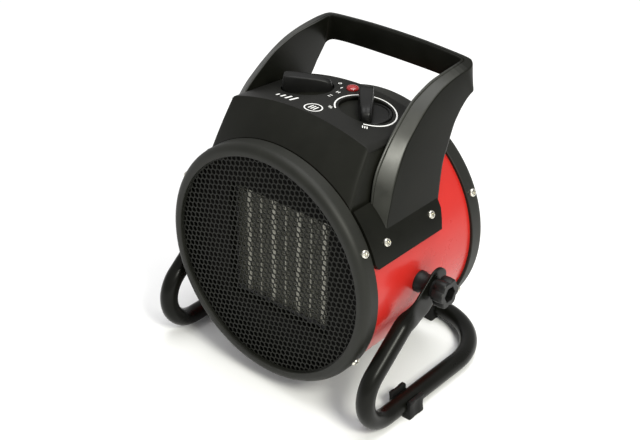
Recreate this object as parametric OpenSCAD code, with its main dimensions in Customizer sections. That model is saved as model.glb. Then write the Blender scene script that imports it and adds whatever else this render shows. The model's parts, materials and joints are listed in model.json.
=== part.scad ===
// Round portable ceramic fan heater on a tilting tube stand.
// Origin: on the floor under the middle of the plan outline.
// Front faces -Y, +X is the right-hand side seen from the front, +Z is up.
// The drum modules are written in drum coordinates: y = 0 is the front of the front
// ring, z = 0 is the drum axis. at_drum() moves them to the floor origin.

/* [Drum and rings] */
// Height of the drum axis above the floor
axis_h = 109.4; // [105:0.1:115]
// Outside radius of both end rings
ring_r = 97; // [94:0.5:100]
// Radius of the ring openings
ring_open_r = 87.8; // [80:0.1:90]
// Wall of the end rings
ring_wall = 2.5; // [2:0.1:3]
// Depth of the front ring
front_ring_depth = 14.7; // [10:0.1:20]
// Depth of the rear ring
rear_ring_depth = 15.6; // [10:0.1:20]
// Length over both rings
drum_len = 147.2; // [140:0.1:155]
// Outside radius of the sheet steel drum
shell_r = 94.4; // [92:0.1:94.4]
// Thickness of the sheet steel drum
shell_t = 1; // [0.8:0.1:1.5]

/* [Stand] */
// Diameter of the stand tube
tube_d = 14.6; // [12:0.1:16]
// Wall of the stand tube
tube_wall = 1.2; // [1:0.1:1.5]
// Height of the tube centre above the floor
tube_z = 9.1; // [8.5:0.1:10]
// Half distance between the runner centres
runner_x = 102; // [100:0.5:104]
// Centre radius of the front bends
front_bend_r = 27; // [24:0.5:30]
// Drum y of the front bend centres
front_bend_y = 24.5; // [20:0.5:30]
// Centre radius of the rear corners
rear_bend_r = 54; // [40:1:56]
// Drum y of the rear cross tube centre
cross_y = 169; // [165:0.5:172]
// Drum y of the tilt pivot
pivot_y = 67; // [60:0.5:75]
// Drum z of the tilt pivot
pivot_z = -3.5; // [-8:0.5:2]
// Middle plane of the flattened tube ends
plate_x = 107.2; // [106:0.1:108]
// Thickness of the flattened tube ends
plate_t = 3; // [2.5:0.1:3.5]
// Half width of the flattened tube ends
plate_r = 11.5; // [10:0.5:12]

/* [Rubber feet] */
// Width of a foot across the tube
clip_w = 22; // [18:0.5:24]
// Length of a foot along the tube
clip_len = 17; // [14:0.5:20]
// Height of a foot
clip_h = 17; // [12:0.5:18]
// Drum y of the feet on the runners
clip_y = 49; // [45:1:60]
// Half distance between the feet on the cross tube
clip_x = 38; // [30:1:50]

/* [Clamp knobs] */
// Radius of the clamp studs
stud_r = 3; // [2.9:0.05:3]
// Running clearance of studs and shafts on the radius
run_gap = 0.06; // [0.02:0.01:0.1]
// Outside radius of the clamp knobs
clamp_r = 12; // [10:0.5:13]
// Length of the clamp knobs
clamp_len = 13.5; // [11:0.5:15]

/* [Control housing] */
// Radius of the crowned top
crown_r = 201; // [180:1:220]
// Drum z of the crown at the front edge of the panel
crown_z = 117.8; // [115:0.1:120]
// Fall of the panel to the rear in degrees
panel_fall = 4.5; // [3:0.5:6]
// Drum y of the front edge of the panel
panel_y0 = 37; // [35:0.5:40]
// Drum y of the rear edge of the panel
panel_y1 = 110; // [105:0.5:112]
// Half width of the panel
panel_hw = 65.3; // [64:0.1:65.5]
// Thickness of the panel
panel_t = 3; // [2.5:0.1:3.5]
// Wall of the housing
house_wall = 2.5; // [2:0.1:3]
// Centre of the selector knob
selector_x = -26; // [-28:0.5:-24]
// Centre of the thermostat knob
thermo_x = 30; // [28:0.5:32]
// Drum y of both knob centres
knob_y = 78; // [75:0.5:80]
// Radius of the knob discs
knob_r = 19.3; // [18:0.1:19.5]
// Radius of the knob wells
well_r = 20.2; // [20:0.1:21]

/* [Handle] */
// Front face of the cross bar
bar_y0 = 148.5; // [142:0.5:150]
// Rear face of the cross bar
bar_y1 = 154.5; // [149:0.5:156]
// Underside of the cross bar
bar_z0 = 120.5; // [118:0.5:122]
// Top of the cross bar
bar_z1 = 143; // [140:0.5:145]

/* [Heating block] */
// Half size of the square air opening
duct_half = 49; // [47:0.5:50]
// Distance between heating bars
bar_pitch = 25; // [24:0.5:26]

/* [Fan] */
// Tip radius of the fan
fan_r = 84; // [80:0.5:84]
// Pitch of the fan blades in degrees
blade_pitch = 32; // [25:1:40]

/* [Hidden] */
$fn = 96;
eps = 0.01;
tube_r = tube_d / 2;
tube_dz = tube_z - axis_h;
stand_y0 = front_bend_y - front_bend_r - tube_r;
stand_y1 = cross_y + clip_w / 2;
y_shift = -(stand_y0 + stand_y1) / 2;
bend_z = tube_dz + front_bend_r;
leg_dy = pivot_y - front_bend_y;
leg_dz = pivot_z - bend_z;
leg_span = sqrt(leg_dy * leg_dy + leg_dz * leg_dz);
leg_angle = atan2(leg_dz, leg_dy) - asin(front_bend_r / leg_span);
leg_len = sqrt(leg_span * leg_span - front_bend_r * front_bend_r);
round_len = leg_len - 34;
flat_start = leg_len - 21;
plate_tip = 4.5;
clip_mouth = 13.6;
shell_ri = shell_r - shell_t;
head_r = 3.3;
head_h = 2.2;
shank_r = 1.75;
shank_hole_r = 1.8;
shank_len = 8;
front_screw_angles = [63.5, 122, -63.5, -122];
rear_screw_angles = [66, 122, -66, -122];
front_screw_y = 8;
rear_screw_y = drum_len - 9;
saddle_screw_y = [32, 85];
saddle_angle = 64;
saddle_r = 98.5;
saddle_ri = 94.7;
saddle_top = 50;
saddle_low = 73;
saddle_y0 = 15.2;
saddle_y1 = 98;
spacer_r = 8.5;
spacer_x1 = plate_x - plate_t / 2 - 0.2;
clamp_x0 = plate_x + plate_t / 2 + 0.2;
insert_x0 = 80;
insert_r = 8;
stud_x0 = 81;
stud_x1 = clamp_x0 + 9;
stud_hole_r = stud_r + run_gap;
plate_hole_r = stud_hole_r;
// The straight leg is this much thinner in radius than the bend it leaves.
leg_step = 0.06;
knob_floor_z = 106.2;
knob_floor_t = 1.5;
knob_disc_z0 = 106.6;
knob_disc_z1 = 109.5;
knob_top_z = 123;
grip_w = 11;
shaft_r = 3;
shaft_z0 = 97;
shaft_z1 = 112;
body_half = 15;
body_z0 = 95;
body_z1 = 104.5;
lamp_x = 2;
lamp_y = 97;
lamp_r = 4.8;
gland_x = -40;
gland_z = 96;
gland_bore_r = 3.6;
grommet_y = 62;
grommet_r = 7.5;
wire_r = 1.3;
motor_r = 30;
motor_y0 = 62;
motor_y1 = 92;
motor_wall = 1.5;
axle_r = 2.5;
axle_y0 = 57;
axle_y1 = 119;
fan_y0 = 98;
fan_y1 = 114;
hub_r = 22;
blade_count = 7;
bracket_y = 79.2;
ptc_y0 = 24.5;
ptc_y1 = 39.5;
ptc_half_h = 47.5;
heater_bar_w = 5;
strip_w = 1.2;
mesh_pitch = 12;
mesh_flat = 10.2;
cos30 = cos(30);

// Side outline of a handle arm, front edge from the base to the bar, then back down.
arm_side = [
  [38, 40], [38, 62], [41, 76], [47, 89], [57, 102], [67.5, 112], [78.5, 120], [91, 127],
  [103, 132], [115.5, 135], [127.5, 137], [139.5, 138.6], [bar_y1, 139.6],
  [bar_y1, 117], [145.5, 115], [137.5, 111.5], [130, 104], [125.5, 96], [120, 86],
  [112.5, 74], [104, 60], [100, 40]
];
// Front outline of the right handle arm, leaning inwards.
arm_front = [
  [73.7, 40], [71.7, 60], [66.6, 110], [64.2, 133], [64.2, 146],
  [73.1, 146], [74.2, 136], [78, 105], [85, 47], [85.8, 40]
];

module at_drum() {
  translate([0, y_shift, axis_h]) children();
}

// Places children in drum coordinates with their Z axis along +Y, starting at y.
module along_y(y) {
  translate([0, y, 0]) rotate([-90, 0, 0]) children();
}

module y_rod(r, y0, y1) {
  along_y(y0) cylinder(r = r, h = y1 - y0);
}

module x_rod(r, x0, x1, y, z) {
  translate([x0, y, z]) rotate([0, 90, 0]) cylinder(r = r, h = x1 - x0);
}

module y_tube(ro, ri, y0, y1) {
  difference() {
    y_rod(ro, y0, y1);
    y_rod(ri, y0 - 1, y1 + 1);
  }
}

// Block given by its low and high corners.
module block(low, high) {
  translate(low) cube(high - low);
}

module both_sides() {
  children();
  mirror([1, 0, 0]) children();
}

// Radial position on the drum: angle from the top towards +X.
module radial(y, angle, r) {
  translate([0, y, 0]) rotate([0, angle, 0]) translate([0, 0, r]) children();
}

module screw_hole(y, angle) {
  radial(y, angle, shell_r - 12) cylinder(r = shank_hole_r, h = 20, $fn = 24);
}

module pan_screw(y, angle, seat_r) {
  radial(y, angle, seat_r) {
    translate([0, 0, -shank_len]) cylinder(r = shank_r, h = shank_len + eps, $fn = 24);
    cylinder(r = head_r, h = head_h - 1, $fn = 32);
    translate([0, 0, head_h - 1]) cylinder(r1 = head_r, r2 = head_r - 1, h = 1, $fn = 32);
  }
}

// ---------- stand ----------
// Right leg frame: Z runs up the leg from the end of the front bend.
module leg_frame() {
  translate([runner_x, front_bend_y, bend_z])
    translate([0, -front_bend_r * sin(leg_angle), front_bend_r * cos(leg_angle)])
      rotate([leg_angle - 90, 0, 0]) children();
}

// Centre line of the right half of the stand swept with radius r.
module half_path(r, straight) {
  translate([runner_x, front_bend_y, tube_dz]) rotate([-90, 0, 0])
    cylinder(r = r, h = cross_y - rear_bend_r - front_bend_y);
  translate([runner_x, front_bend_y, bend_z]) rotate([0, 90, 0])
    rotate_extrude(angle = leg_angle - 180) translate([front_bend_r, 0]) circle(r = r);
  leg_frame() translate([0, 0, -0.6]) cylinder(r = r - leg_step, h = straight + 0.6);
  translate([runner_x - rear_bend_r, cross_y - rear_bend_r, tube_dz])
    rotate_extrude(angle = 90) translate([rear_bend_r, 0]) circle(r = r);
}

module tube_path(r, straight) {
  both_sides() half_path(r, straight);
  x_rod(r, -(runner_x - rear_bend_r), runner_x - rear_bend_r, cross_y, tube_dz);
}

module flat_end() {
  off = plate_x - runner_x;
  leg_frame() {
    hull() {
      translate([0, 0, round_len - 1.2]) cylinder(r = tube_r - 0.7, h = 0.4, $fn = 32);
      translate([off, 0, flat_start]) cube([plate_t, 2 * plate_r, 0.4], center = true);
    }
    translate([off, 0, (flat_start + leg_len + plate_tip) / 2])
      cube([plate_t, 2 * plate_r, leg_len + plate_tip - flat_start], center = true);
    translate([off - plate_t / 2, 0, leg_len + plate_tip]) rotate([0, 90, 0])
      cylinder(r = plate_r, h = plate_t);
  }
}

module stand_tube() {
  color([0.09, 0.09, 0.09]) at_drum() difference() {
    union() {
      tube_path(tube_r, round_len);
      both_sides() flat_end();
    }
    tube_path(tube_r - tube_wall, round_len - 3);
    x_rod(plate_hole_r, -120, 120, pivot_y, pivot_z);
  }
}

// Rubber foot around a tube that runs along Y, its base on the floor.
module foot_clip() {
  difference() {
    translate([-clip_w / 2, -clip_len / 2, 0]) cube([clip_w, clip_len, clip_h]);
    translate([0, -clip_len, tube_z]) rotate([-90, 0, 0])
      cylinder(r = tube_r, h = 2 * clip_len);
    translate([-clip_mouth / 2, -clip_len, tube_z]) cube([clip_mouth, 2 * clip_len, 20]);
  }
}

module foot_clips() {
  color([0.06, 0.06, 0.06]) translate([0, y_shift, 0]) {
    translate([runner_x, clip_y, 0]) foot_clip();
    translate([-runner_x, clip_y, 0]) foot_clip();
    translate([clip_x, cross_y, 0]) rotate([0, 0, 90]) foot_clip();
    translate([-clip_x, cross_y, 0]) rotate([0, 0, 90]) foot_clip();
  }
}

// ---------- drum ----------
module ring_holes(y, angles) {
  for (a = angles) screw_hole(y, a);
}

module saddle_holes() {
  for (y = saddle_screw_y) {
    screw_hole(y, saddle_angle);
    screw_hole(y, -saddle_angle);
  }
}

module drum_shell() {
  color([0.72, 0.08, 0.07]) at_drum() difference() {
    y_tube(shell_r, shell_ri, 6, drum_len - 6);
    ring_holes(front_screw_y + 1, front_screw_angles);
    ring_holes(rear_screw_y, rear_screw_angles);
    saddle_holes();
    x_rod(stud_hole_r, -120, 120, pivot_y, pivot_z);
    radial(grommet_y, 0, 80) cylinder(r = grommet_r - 1.5, h = 30);
  }
}

module ring_profile(depth) {
  bend = 5;
  corner = ring_r - bend;
  translate([ring_open_r, 0]) square([corner - ring_open_r, ring_wall]);
  translate([ring_r - ring_wall, bend]) square([ring_wall, depth - bend]);
  intersection() {
    difference() {
      translate([corner, bend]) circle(r = bend);
      translate([corner, bend]) circle(r = bend - ring_wall);
    }
    translate([corner, 0]) square([bend, bend]);
  }
}

module front_ring() {
  color([0.12, 0.12, 0.12]) at_drum() difference() {
    along_y(0) rotate_extrude() ring_profile(front_ring_depth);
    ring_holes(front_screw_y + 1, front_screw_angles);
  }
}

module rear_ring() {
  color([0.12, 0.12, 0.12]) at_drum() difference() {
    translate([0, drum_len, 0]) rotate([90, 0, 0]) rotate_extrude()
      ring_profile(rear_ring_depth);
    ring_holes(rear_screw_y, rear_screw_angles);
  }
}

module mesh_holes(limit) {
  rows = ceil(limit / (mesh_pitch * cos30));
  for (j = [-rows : rows]) {
    for (i = [-9 : 9]) {
      px = (i + (abs(j) % 2) / 2) * mesh_pitch;
      pz = j * mesh_pitch * cos30;
      if (px * px + pz * pz < limit * limit)
        translate([px, pz]) rotate(30) circle(r = mesh_flat / 2 / cos30, $fn = 6);
    }
  }
}

module front_grille() {
  color([0.07, 0.07, 0.07]) at_drum() along_y(ring_wall) linear_extrude(height = 1)
    difference() {
      circle(r = 92.2);
      mesh_holes(81);
    }
}

module rear_grille() {
  color([0.07, 0.07, 0.07]) at_drum() along_y(drum_len - ring_wall - 1.4)
    linear_extrude(height = 1.4) {
      difference() {
        circle(r = 92.2);
        circle(r = 86);
      }
      for (r = [30 : 8 : 78]) {
        difference() {
          circle(r = r + 1);
          circle(r = r - 1);
        }
      }
      circle(r = 22);
      for (a = [0 : 45 : 315]) rotate(a) translate([20, -1.5]) square([68, 3]);
    }
}

module ring_screws() {
  color([0.78, 0.77, 0.73]) at_drum() {
    for (a = front_screw_angles) pan_screw(front_screw_y + 1, a, ring_r);
    for (a = rear_screw_angles) pan_screw(rear_screw_y, a, ring_r);
  }
}

// ---------- heating block ----------
module baffle_plate() {
  d = duct_half;
  color([0.1, 0.1, 0.1]) at_drum() {
    difference() {
      union() {
        y_rod(shell_ri, 15.6, 16.8);
        y_tube(shell_ri, shell_ri - 1, 15.6, 21);
        block([-d - 1.5, 16, -d - 1.5], [d + 1.5, 23, d + 1.5]);
      }
      block([-d, 10, -d], [d, 30, d]);
    }
  }
}

module strip_set(w, y0, y1, z0, z1) {
  for (x = [-bar_pitch, 0, bar_pitch]) block([x - w / 2, y0, z0], [x + w / 2, y1, z1]);
}

module heater_bars() {
  w = heater_bar_w / 2;
  for (x = [-1.5, -0.5, 0.5, 1.5])
    block([x * bar_pitch - w, ptc_y0, -ptc_half_h], [x * bar_pitch + w, ptc_y1, ptc_half_h]);
}

module ptc_frame() {
  h = ptc_half_h;
  color([0.2, 0.2, 0.2]) at_drum() difference() {
    block([-53, 23, -h - 6], [53, 41, h + 6]);
    block([-50.5, 20, -h], [50.5, 45, h]);
    strip_set(6.3, 29, 35, 0, 80);
  }
}

module ptc_bars() {
  color([0.8, 0.8, 0.82]) at_drum() heater_bars();
}

module ptc_fins() {
  count = 16;
  step = 2 * ptc_half_h / count;
  color([0.6, 0.6, 0.62]) at_drum() difference() {
    for (i = [0 : count - 1]) {
      z = -ptc_half_h + (i + 0.5) * step;
      block([-50.5, ptc_y0 + 0.5, z - 0.3], [50.5, ptc_y1 - 0.5, z + 0.3]);
    }
    heater_bars();
    strip_set(strip_w, 20, 45, -60, 60);
  }
}

module ptc_electrodes() {
  color([0.78, 0.68, 0.45]) at_drum() {
    strip_set(strip_w, ptc_y0, ptc_y1, -ptc_half_h, ptc_half_h);
    strip_set(strip_w, 29.2, 34.8, ptc_half_h - 1, 63);
  }
}

module thermal_cutout() {
  color([0.75, 0.74, 0.7]) at_drum() {
    translate([-38, 32, 53.5]) cylinder(r = 7.5, h = 5);
    block([-50, 29, 53.5], [-26, 35, 54.3]);
    block([-42, 31, 58], [-41.2, 33, 66]);
    block([-34.8, 31, 58], [-34, 33, 66]);
  }
}

// ---------- fan ----------
module motor_bracket() {
  color([0.55, 0.56, 0.57]) at_drum() {
    y_tube(shell_ri, shell_ri - 1.5, bracket_y - 3, bracket_y + 3);
    y_tube(motor_r + 3, motor_r, bracket_y - 4, bracket_y + 4);
    for (a = [45 : 90 : 315]) rotate([0, a, 0])
      block([motor_r + 1.5, bracket_y - 1.5, -4], [shell_ri - 1, bracket_y + 1.5, 4]);
  }
}

module motor_body() {
  color([0.5, 0.5, 0.52]) at_drum() difference() {
    y_rod(motor_r, motor_y0, motor_y1);
    y_rod(motor_r - motor_wall, motor_y0 + 2, motor_y1 - 2);
    y_rod(axle_r + run_gap, motor_y0 - 5, motor_y1 + 5);
    for (a = [0 : 90 : 270]) rotate([0, a, 0]) translate([24, 0, 0])
      y_rod(1.5, motor_y1 - 5, motor_y1 + 5);
  }
}

module motor_stator() {
  color([0.42, 0.42, 0.44]) at_drum() y_tube(motor_r - motor_wall, 18, 69, 85);
}

module motor_windings() {
  color([0.66, 0.32, 0.12]) at_drum() {
    y_tube(27, 19, 65, 69);
    y_tube(22, 19, 85, 88);
  }
}

module motor_screws() {
  color([0.78, 0.77, 0.73]) at_drum() {
    for (a = [0 : 90 : 270]) rotate([0, a, 0]) translate([24, 0, 0]) {
      y_rod(1.5, motor_y1 - 4, motor_y1 + eps);
      y_rod(2.8, motor_y1, motor_y1 + 1.8);
    }
  }
}

module motor_rotor() {
  color([0.6, 0.6, 0.62]) at_drum() y_tube(16.5, axle_r, 68, 86);
}

module motor_shaft() {
  color([0.75, 0.75, 0.77]) at_drum() y_rod(axle_r, axle_y0, axle_y1);
}

module fan_impeller() {
  color([0.16, 0.16, 0.17]) at_drum() difference() {
    union() {
      difference() {
        y_rod(hub_r, fan_y0, fan_y1);
        y_rod(hub_r - 2.5, fan_y0 - 1, fan_y1 - 3);
      }
      y_rod(6, fan_y0, fan_y1);
      intersection() {
        y_tube(fan_r, hub_r - 1, fan_y0 - 2, fan_y1 + 2);
        union() {
          for (i = [0 : blade_count - 1]) rotate([0, i * 360 / blade_count, 0])
            translate([fan_r / 2 + 8, (fan_y0 + fan_y1) / 2, 0]) rotate([blade_pitch, 0, 0])
              cube([fan_r, 1.6, 30], center = true);
        }
      }
    }
    y_rod(axle_r, fan_y0 - 10, fan_y1 + 10);
  }
}

module fan_nut() {
  color([0.78, 0.77, 0.73]) at_drum() difference() {
    along_y(fan_y1) cylinder(r = 5, h = 3.2, $fn = 6);
    y_rod(axle_r, fan_y1 - 5, fan_y1 + 10);
  }
}

module fan_shroud() {
  color([0.14, 0.14, 0.14]) at_drum() {
    y_tube(shell_ri, shell_ri - 2, 95, 118);
    y_tube(shell_ri - 1, 86, 116, 118);
  }
}

// ---------- control housing ----------
// Solid below the crowned, rearward falling top, lowered by drop.
module under_crown(drop) {
  translate([0, panel_y0, crown_z - drop]) rotate([-panel_fall, 0, 0])
    translate([0, 0, -crown_r]) y_rod(crown_r, -60, 100);
}

module front_section(y, hw, top) {
  translate([0, y, 0]) rotate([90, 0, 0]) linear_extrude(height = 0.2) intersection() {
    translate([0, top - crown_r]) circle(r = crown_r, $fn = 128);
    polygon([[-hw - 1.5, 55], [hw + 1.5, 55], [hw, 108], [hw, 125], [-hw, 125], [-hw, 108]]);
  }
}

module ring_section(y, hw, r) {
  translate([0, y, 0]) rotate([90, 0, 0]) linear_extrude(height = 0.2) intersection() {
    circle(r = r, $fn = 128);
    translate([-hw, 55]) square([2 * hw, 60]);
  }
}

module house_body(hw, y0, y1, drop) {
  intersection() {
    under_crown(drop);
    block([-hw, y0, 50], [hw, y1, 130]);
  }
}

module control_housing() {
  hw = panel_hw;
  iw = hw - house_wall;
  top = crown_z - panel_t;
  color([0.13, 0.13, 0.13]) at_drum() difference() {
    union() {
      hull() {
        ring_section(saddle_y0 + 0.2, 69, 96.6);
        front_section(panel_y0, hw, top);
      }
      house_body(hw, panel_y0 - 0.2, panel_y1, panel_t);
    }
    hull() {
      ring_section(saddle_y0 + 4, 66, 94.8);
      front_section(panel_y0 + 4, iw, top - 3);
    }
    house_body(iw, panel_y0 + 3, panel_y1 - house_wall, panel_t - 1);
    y_rod(shell_r + 0.2, 0, 200);
    translate([gland_x, 0, gland_z]) y_rod(5, 100, 120);
  }
}

module well_cup(x, r, z0, z1) {
  translate([x, knob_y, z0]) cylinder(r = r, h = z1 - z0);
}

module control_panel() {
  color([0.2, 0.2, 0.2]) at_drum() difference() {
    union() {
      difference() {
        house_body(panel_hw, panel_y0, panel_y1, 0);
        under_crown(panel_t);
      }
      intersection() {
        union() {
          well_cup(selector_x, well_r + 1.5, knob_floor_z - knob_floor_t, 125);
          well_cup(thermo_x, well_r + 1.5, knob_floor_z - knob_floor_t, 125);
        }
        under_crown(0.5);
      }
    }
    well_cup(selector_x, well_r, knob_floor_z, 130);
    well_cup(thermo_x, well_r, knob_floor_z, 130);
    well_cup(selector_x, shaft_r + 0.4, 90, 130);
    well_cup(thermo_x, shaft_r + 0.4, 90, 130);
    translate([lamp_x, lamp_y, 90]) cylinder(r = lamp_r - 0.8, h = 40);
  }
}

module switch_box(x) {
  difference() {
    block([x - body_half, knob_y - body_half, body_z0],
          [x + body_half, knob_y + body_half, body_z1]);
    translate([x, knob_y, shaft_z0 - 0.3]) cylinder(r = shaft_r + run_gap, h = 20);
  }
}

module selector_body() {
  color([0.85, 0.84, 0.8]) at_drum() switch_box(selector_x);
}

module thermostat_body() {
  color([0.3, 0.3, 0.32]) at_drum() switch_box(thermo_x);
}

module shaft_at(x) {
  translate([x, knob_y, shaft_z0]) cylinder(r = shaft_r, h = shaft_z1 - shaft_z0);
}

module selector_shaft() {
  color([0.8, 0.8, 0.78]) at_drum() shaft_at(selector_x);
}

module thermostat_shaft() {
  color([0.8, 0.8, 0.78]) at_drum() shaft_at(thermo_x);
}

// Knob with a bar grip whose pointer end lies at the given direction.
module grip_knob(x, direction) {
  translate([x, knob_y, 0]) difference() {
    union() {
      translate([0, 0, knob_disc_z0]) cylinder(r = knob_r, h = knob_disc_z1 - knob_disc_z0);
      intersection() {
        translate([0, 0, knob_disc_z0]) cylinder(r = knob_r, h = 30);
        rotate([0, 0, direction]) translate([-30, -grip_w / 2, knob_disc_z0])
          cube([60, grip_w, knob_top_z - knob_disc_z0]);
      }
    }
    translate([0, 0, 90]) cylinder(r = shaft_r, h = shaft_z1 - 90);
  }
}

module selector_knob() {
  color([0.11, 0.11, 0.11]) at_drum() grip_knob(selector_x, 37);
}

module thermostat_knob() {
  color([0.11, 0.11, 0.11]) at_drum() grip_knob(thermo_x, -52);
}

module lamp_body() {
  color([0.85, 0.84, 0.8]) at_drum() translate([lamp_x, lamp_y, 97])
    cylinder(r = 3.4, h = 14);
}

module lamp_lens() {
  color([0.7, 0.05, 0.04, 0.6]) at_drum() difference() {
    translate([lamp_x, lamp_y, 0]) {
      translate([0, 0, 108]) cylinder(r = lamp_r - 0.9, h = 5.5);
      translate([0, 0, 113.4]) cylinder(r = lamp_r, h = 1.2);
      translate([0, 0, 114.6]) intersection() {
        translate([0, 0, -3]) sphere(r = 5.6);
        cylinder(r = lamp_r - 0.1, h = 5);
      }
    }
    translate([lamp_x, lamp_y, 90]) cylinder(r = 3.4, h = 21);
  }
}

module terminal_block() {
  color([0.88, 0.86, 0.8]) at_drum() difference() {
    block([-15, 42, 95], [15, 54, 104]);
    for (x = [-10, 0, 10]) translate([x, 48, 99]) cylinder(r = 2, h = 10, $fn = 32);
  }
}

module cable_gland() {
  back = panel_y1;
  color([0.1, 0.1, 0.1]) at_drum() translate([gland_x, 0, gland_z]) difference() {
    union() {
      along_y(back) cylinder(r = 8.6, h = 4, $fn = 6);
      y_rod(7, back + 4, back + 12);
      y_rod(5, back - 7, back);
      along_y(back - house_wall - 4) cylinder(r = 8, h = 4, $fn = 6);
    }
    y_rod(gland_bore_r, back - 20, back + 20);
  }
}

module wire_grommet() {
  color([0.05, 0.05, 0.05]) at_drum() radial(grommet_y, 0, 0) difference() {
    union() {
      translate([0, 0, shell_ri - 1.6]) cylinder(r = grommet_r - 1.5, h = 4.8);
      translate([0, 0, shell_r + 0.1]) cylinder(r = grommet_r, h = 1.6);
      translate([0, 0, shell_ri - 2]) cylinder(r = grommet_r, h = 1.6);
    }
    translate([0, 0, 80]) cylinder(r = 4.7, h = 30);
    y_tube(shell_r + 0.1, shell_ri - 0.1, 0, 200);
  }
}

// Wires of the loom, each run square to the axes.
module z_wire(x, y, z0, z1) {
  translate([x, y, z0]) cylinder(r = wire_r, h = z1 - z0, $fn = 24);
}

module wire_loom() {
  color([0.5, 0.12, 0.1]) at_drum() {
    z_wire(0, grommet_y, 78, 98);
    translate([0, 0, 98]) y_rod(wire_r, 54.2, grommet_y + 1.2);
    z_wire(3, grommet_y - 1, 79, 96);
    translate([3, 0, 80]) y_rod(wire_r, 33, grommet_y);
    x_rod(wire_r, 2, bar_pitch + 1.2, 32, 79);
    z_wire(bar_pitch, 32, 63.2, 80);
    z_wire(-3, grommet_y - 1, 79, 96);
    translate([-3, 0, 80]) y_rod(wire_r, 33, grommet_y);
    x_rod(wire_r, -38, -2, 32, 79);
    z_wire(-38, 32, 66, 80);
    z_wire(0, grommet_y - 2, 20, 80);
  }
}

// ---------- handle ----------
module saddle_flange() {
  rotate([-90, 0, 0]) rotate([0, 0, saddle_top - 90]) translate([0, 0, saddle_y0])
    rotate_extrude(angle = saddle_low - saddle_top)
      translate([saddle_ri - 0.5, 0])
        square([saddle_r - saddle_ri + 0.5, saddle_y1 - saddle_y0]);
}

module arm_blank() {
  intersection() {
    translate([60, 0, 0]) rotate([90, 0, 90]) linear_extrude(height = 30) polygon(arm_side);
    translate([0, 170, 0]) rotate([90, 0, 0]) linear_extrude(height = 170)
      polygon(arm_front);
  }
}

module handle() {
  color([0.14, 0.14, 0.14]) at_drum() difference() {
    union() {
      both_sides() {
        arm_blank();
        saddle_flange();
      }
      block([-73.5, bar_y0, bar_z0], [73.5, bar_y1, bar_z1]);
    }
    y_rod(saddle_ri, 0, 200);
    saddle_holes();
  }
}

module handle_screws() {
  color([0.78, 0.77, 0.73]) at_drum() {
    for (y = saddle_screw_y) {
      pan_screw(y, saddle_angle, saddle_r);
      pan_screw(y, -saddle_angle, saddle_r);
    }
  }
}

// ---------- tilt pivots ----------
module pivot_spacers() {
  color([0.1, 0.1, 0.1]) at_drum() both_sides() difference() {
    x_rod(spacer_r, 85, spacer_x1, pivot_y, pivot_z);
    y_rod(shell_r + 0.1, 0, 200);
    x_rod(stud_hole_r, 80, 130, pivot_y, pivot_z);
  }
}

module pivot_inserts() {
  color([0.7, 0.6, 0.35]) at_drum() both_sides() difference() {
    intersection() {
      x_rod(insert_r, insert_x0, 100, pivot_y, pivot_z);
      y_rod(shell_ri - 0.1, 0, 200);
    }
    x_rod(stud_hole_r, 70, 130, pivot_y, pivot_z);
  }
}

module clamp_stud() {
  x_rod(stud_r, stud_x0, stud_x1, pivot_y, pivot_z);
}

module clamp_knob() {
  head_x = clamp_x0 + 3.5;
  difference() {
    union() {
      x_rod(7.5, clamp_x0, head_x + 1, pivot_y, pivot_z);
      translate([head_x, pivot_y, pivot_z]) rotate([0, 90, 0])
        linear_extrude(height = clamp_len - 3.5) {
          circle(r = clamp_r - 2.5);
          for (a = [0 : 60 : 300]) rotate(a) translate([clamp_r - 3.4, 0]) circle(r = 3.4);
        }
    }
    x_rod(stud_r, stud_x0, stud_x1, pivot_y, pivot_z);
    x_rod(6, clamp_x0 + clamp_len - 1.6, clamp_x0 + clamp_len + 5, pivot_y, pivot_z);
  }
}

module clamp_stud_right() {
  color([0.78, 0.77, 0.73]) at_drum() clamp_stud();
}

module clamp_knob_right() {
  color([0.1, 0.1, 0.1]) at_drum() clamp_knob();
}

module clamp_stud_left() {
  color([0.78, 0.77, 0.73]) at_drum() mirror([1, 0, 0]) clamp_stud();
}

module clamp_knob_left() {
  color([0.1, 0.1, 0.1]) at_drum() mirror([1, 0, 0]) clamp_knob();
}

stand_tube();
foot_clips();
drum_shell();
front_ring();
front_grille();
rear_ring();
rear_grille();
ring_screws();
baffle_plate();
ptc_frame();
ptc_bars();
ptc_fins();
ptc_electrodes();
thermal_cutout();
motor_bracket();
motor_body();
motor_stator();
motor_windings();
motor_screws();
motor_rotor();
motor_shaft();
fan_impeller();
fan_nut();
fan_shroud();
control_housing();
control_panel();
selector_body();
selector_shaft();
selector_knob();
thermostat_body();
thermostat_shaft();
thermostat_knob();
lamp_body();
lamp_lens();
terminal_block();
cable_gland();
wire_grommet();
wire_loom();
handle();
handle_screws();
pivot_spacers();
pivot_inserts();
clamp_stud_right();
clamp_knob_right();
clamp_stud_left();
clamp_knob_left();
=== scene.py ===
import json
import math

import bmesh
import bpy
from mathutils import Matrix, Vector


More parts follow.
